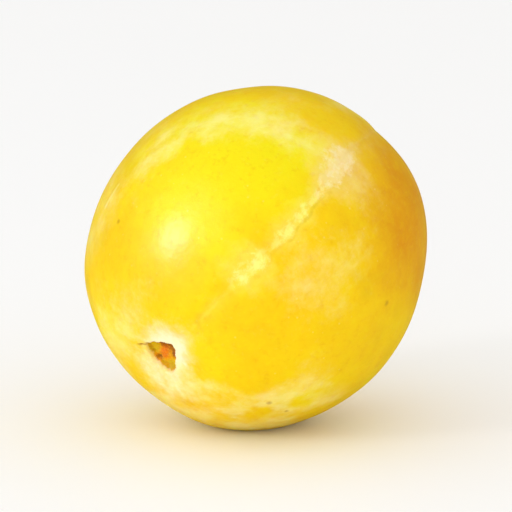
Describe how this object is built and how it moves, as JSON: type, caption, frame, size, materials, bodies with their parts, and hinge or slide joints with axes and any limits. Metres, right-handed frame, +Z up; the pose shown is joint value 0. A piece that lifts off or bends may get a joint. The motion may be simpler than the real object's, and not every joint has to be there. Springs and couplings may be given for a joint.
{
  "type": "plum",
  "caption": "Ripe yellow plum without its stalk, lying on its side on a small flat spot, with a shallow seam, a torn stalk pit and a blunt tip.",
  "frame": {"origin": "middle of the small flat spot that the fruit rests on", "axes": "+Z up from the surface; the seam side faces -Y, with the stalk pit low on the left and the tip high at the back on the right"},
  "size_m": [0.0442, 0.0447, 0.0436],
  "materials": {
    "plum_skin": "satin"
  },
  "bodies": {
    "root": {"plum": "plum_skin"}
  },
  "joints": []
}
